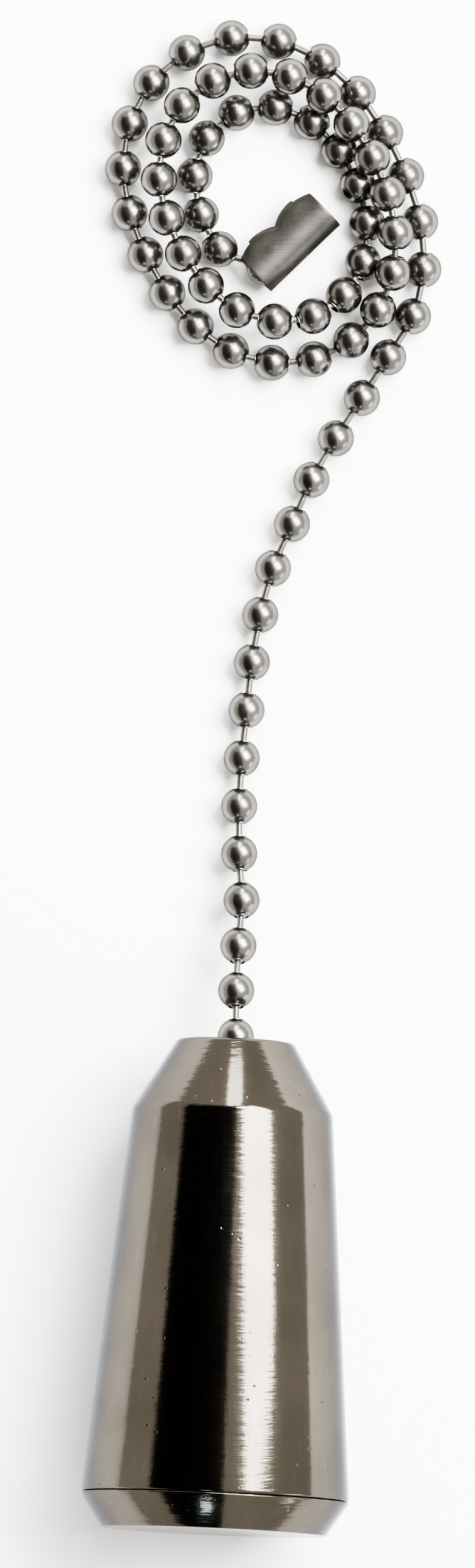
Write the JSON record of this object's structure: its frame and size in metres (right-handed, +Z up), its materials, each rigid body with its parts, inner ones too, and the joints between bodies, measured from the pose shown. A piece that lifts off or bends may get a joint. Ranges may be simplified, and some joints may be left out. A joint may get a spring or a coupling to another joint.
{
  "type": "pull chain",
  "caption": "Pull chain: bead chain with a sheet coupling on one end, lying in a loose flat coil, and a tapered round metal knob on the other",
  "frame": {"origin": "middle of the whole object's footprint, on the surface it lies on", "axes": "+Y from the knob towards the coil, along the chain; +Z up from the surface; +X to the right seen from above"},
  "size_m": [0.0314, 0.132, 0.0231],
  "materials": {
    "bead_nickel": "bright nickel plate on pressed brass beads",
    "link_steel": "nickel plated wire, satin",
    "coupling_nickel": "rolled nickel plated strip, satin with drawing lines",
    "stop_brass": "turned brass, bare",
    "knob_nickel": "black nickel plate over a lightly brushed casting",
    "cap_nickel": "black nickel plate"
  },
  "bodies": {
    "coil": {"coil_beads_outer": "bead_nickel", "coil_links_outer": "link_steel", "coil_beads_middle": "bead_nickel", "coil_links_middle": "link_steel", "coil_beads_inner": "bead_nickel", "coil_links_inner": "link_steel", "end_bead": "bead_nickel"},
    "link_01": {"link_01": "link_steel"},
    "bead_01": {"bead_01": "bead_nickel"},
    "link_02": {"link_02": "link_steel"},
    "bead_02": {"bead_02": "bead_nickel"},
    "link_03": {"link_03": "link_steel"},
    "bead_03": {"bead_03": "bead_nickel"},
    "link_04": {"link_04": "link_steel"},
    "bead_04": {"bead_04": "bead_nickel"},
    "link_05": {"link_05": "link_steel"},
    "bead_05": {"bead_05": "bead_nickel"},
    "link_06": {"link_06": "link_steel"},
    "bead_06": {"bead_06": "bead_nickel"},
    "link_07": {"link_07": "link_steel"},
    "bead_07": {"bead_07": "bead_nickel"},
    "link_08": {"link_08": "link_steel"},
    "bead_08": {"bead_08": "bead_nickel"},
    "link_09": {"link_09": "link_steel"},
    "bead_09": {"bead_09": "bead_nickel"},
    "link_10": {"link_10": "link_steel"},
    "bead_10": {"bead_10": "bead_nickel"},
    "link_11": {"link_11": "link_steel"},
    "bead_11": {"bead_11": "bead_nickel"},
    "link_12": {"link_12": "link_steel"},
    "bead_12": {"bead_12": "bead_nickel"},
    "link_13": {"link_13": "link_steel"},
    "bead_13": {"bead_13": "bead_nickel"},
    "link_14": {"link_14": "link_steel"},
    "bead_14": {"bead_14": "bead_nickel"},
    "link_15": {"link_15": "link_steel"},
    "bead_15": {"bead_15": "bead_nickel"},
    "tail": {"link_16": "link_steel", "stop_bead": "bead_nickel"},
    "stop": {"chain_stop": "stop_brass"},
    "knob": {"knob_body": "knob_nickel", "base_cap": "cap_nickel"},
    "coupling": {"coupling": "coupling_nickel"}
  },
  "joints": [
    {"name": "tilt_01", "type": "hinge", "parent": "coil", "child": "link_01", "pos_m": [0.01058, 0.03599, 0.0016], "axis": [-0.8387, 0.5446, 0], "range_deg": [-20, 20]},
    {"name": "swing_01", "type": "hinge", "parent": "link_01", "child": "bead_01", "pos_m": [0.00913, 0.03376, 0.0016], "axis": [0, 0, -1], "range_deg": [-20, 20]},
    {"name": "tilt_02", "type": "hinge", "parent": "bead_01", "child": "link_02", "pos_m": [0.00829, 0.03246, 0.0016], "axis": [-0.8387, 0.5446, 0], "range_deg": [-20, 20]},
    {"name": "swing_02", "type": "hinge", "parent": "link_02", "child": "bead_02", "pos_m": [0.00685, 0.03023, 0.0016], "axis": [0, 0, -1], "range_deg": [-20, 20]},
    {"name": "tilt_03", "type": "hinge", "parent": "bead_02", "child": "link_03", "pos_m": [0.00603, 0.02893, 0.0016], "axis": [0.8572, -0.515, 0], "range_deg": [-20, 20]},
    {"name": "swing_03", "type": "hinge", "parent": "link_03", "child": "bead_03", "pos_m": [0.00466, 0.02665, 0.0016], "axis": [0, 0, 1], "range_deg": [-20, 20]},
    {"name": "tilt_04", "type": "hinge", "parent": "bead_03", "child": "link_04", "pos_m": [0.00396, 0.02528, 0.0016], "axis": [0.9205, -0.3907, 0], "range_deg": [-20, 20]},
    {"name": "swing_04", "type": "hinge", "parent": "link_04", "child": "bead_04", "pos_m": [0.00292, 0.02283, 0.0016], "axis": [0, 0, 1], "range_deg": [-20, 20]},
    {"name": "tilt_05", "type": "hinge", "parent": "bead_04", "child": "link_05", "pos_m": [0.00231, 0.02141, 0.0016], "axis": [-0.9135, 0.4067, 0], "range_deg": [-20, 20]},
    {"name": "swing_05", "type": "hinge", "parent": "link_05", "child": "bead_05", "pos_m": [0.00122, 0.01898, 0.0016], "axis": [0, 0, -1], "range_deg": [-20, 20]},
    {"name": "tilt_06", "type": "hinge", "parent": "bead_05", "child": "link_06", "pos_m": [0.00071, 0.01753, 0.0016], "axis": [-0.9659, 0.2588, 0], "range_deg": [-20, 20]},
    {"name": "swing_06", "type": "hinge", "parent": "link_06", "child": "bead_06", "pos_m": [0.00002, 0.01496, 0.0016], "axis": [0, 0, -1], "range_deg": [-20, 20]},
    {"name": "tilt_07", "type": "hinge", "parent": "bead_06", "child": "link_07", "pos_m": [-0.00031, 0.01346, 0.0016], "axis": [0.9848, -0.1736, 0], "range_deg": [-20, 20]},
    {"name": "swing_07", "type": "hinge", "parent": "link_07", "child": "bead_07", "pos_m": [-0.00077, 0.01084, 0.0016], "axis": [0, 0, 1], "range_deg": [-20, 20]},
    {"name": "tilt_08", "type": "hinge", "parent": "bead_07", "child": "link_08", "pos_m": [-0.00099, 0.00932, 0.0016], "axis": [0.9945, -0.1045, 0], "range_deg": [-20, 20]},
    {"name": "swing_08", "type": "hinge", "parent": "link_08", "child": "bead_08", "pos_m": [-0.00127, 0.00667, 0.0016], "axis": [0, 0, 1], "range_deg": [-20, 20]},
    {"name": "tilt_09", "type": "hinge", "parent": "bead_08", "child": "link_09", "pos_m": [-0.00143, 0.00514, 0.0016], "axis": [-0.9945, 0.1045, 0], "range_deg": [-20, 20]},
    {"name": "swing_09", "type": "hinge", "parent": "link_09", "child": "bead_09", "pos_m": [-0.0017, 0.00249, 0.0016], "axis": [0, 0, -1], "range_deg": [-20, 20]},
    {"name": "tilt_10", "type": "hinge", "parent": "bead_09", "child": "link_10", "pos_m": [-0.00183, 0.00096, 0.00164], "axis": [-0.9986, 0.0523, 0], "range_deg": [-20, 20]},
    {"name": "swing_10", "type": "hinge", "parent": "link_10", "child": "bead_10", "pos_m": [-0.00196, -0.00169, 0.00178], "axis": [0, 0, -1], "range_deg": [-20, 20]},
    {"name": "tilt_11", "type": "hinge", "parent": "bead_10", "child": "link_11", "pos_m": [-0.002, -0.00323, 0.00195], "axis": [1, 0, 0], "range_deg": [-20, 20]},
    {"name": "swing_11", "type": "hinge", "parent": "link_11", "child": "bead_11", "pos_m": [-0.002, -0.00585, 0.00237], "axis": [0, 0, 1], "range_deg": [-20, 20]},
    {"name": "tilt_12", "type": "hinge", "parent": "bead_11", "child": "link_12", "pos_m": [-0.00195, -0.00736, 0.00269], "axis": [0.9976, 0.0698, 0], "range_deg": [-20, 20]},
    {"name": "swing_12", "type": "hinge", "parent": "link_12", "child": "bead_12", "pos_m": [-0.00177, -0.00992, 0.00339], "axis": [0, 0, 1], "range_deg": [-20, 20]},
    {"name": "tilt_13", "type": "hinge", "parent": "bead_12", "child": "link_13", "pos_m": [-0.00178, -0.01138, 0.00386], "axis": [-0.9962, 0.0872, 0], "range_deg": [-20, 20]},
    {"name": "swing_13", "type": "hinge", "parent": "link_13", "child": "bead_13", "pos_m": [-0.002, -0.01387, 0.00478], "axis": [0, 0, -1], "range_deg": [-20, 20]},
    {"name": "tilt_14", "type": "hinge", "parent": "bead_13", "child": "link_14", "pos_m": [-0.0021, -0.01529, 0.00536], "axis": [-0.9986, 0.0523, 0], "range_deg": [-20, 20]},
    {"name": "swing_14", "type": "hinge", "parent": "link_14", "child": "bead_14", "pos_m": [-0.00223, -0.01773, 0.00641], "axis": [0, 0, -1], "range_deg": [-20, 20]},
    {"name": "tilt_15", "type": "hinge", "parent": "bead_14", "child": "link_15", "pos_m": [-0.00227, -0.01917, 0.00697], "axis": [1, 0, 0], "range_deg": [-12, 12]},
    {"name": "swing_15", "type": "hinge", "parent": "link_15", "child": "bead_15", "pos_m": [-0.00227, -0.02168, 0.00785], "axis": [0, 0, 1], "range_deg": [-12, 12]},
    {"name": "tilt_16", "type": "hinge", "parent": "bead_15", "child": "tail", "pos_m": [-0.0023, -0.02318, 0.00817], "axis": [0.999, -0.0454, 0], "range_deg": [-12, 12]},
    {"name": "knob_spin", "type": "hinge", "parent": "tail", "child": "stop", "pos_m": [-0.00246, -0.0266, 0.00847], "axis": [-0.0452, -0.9952, 0.0865], "continuous": true},
    {"name": "knob_slide", "type": "slide", "parent": "stop", "child": "knob", "axis": [0.0452, 0.9952, -0.0865], "range_m": [0, 0.0015]},
    {"name": "coupling_swing", "type": "hinge", "parent": "coil", "child": "coupling", "pos_m": [0.00022, 0.0445, 0.00195], "axis": [0, 0, 1], "range_deg": [-10, 15]}
  ]
}
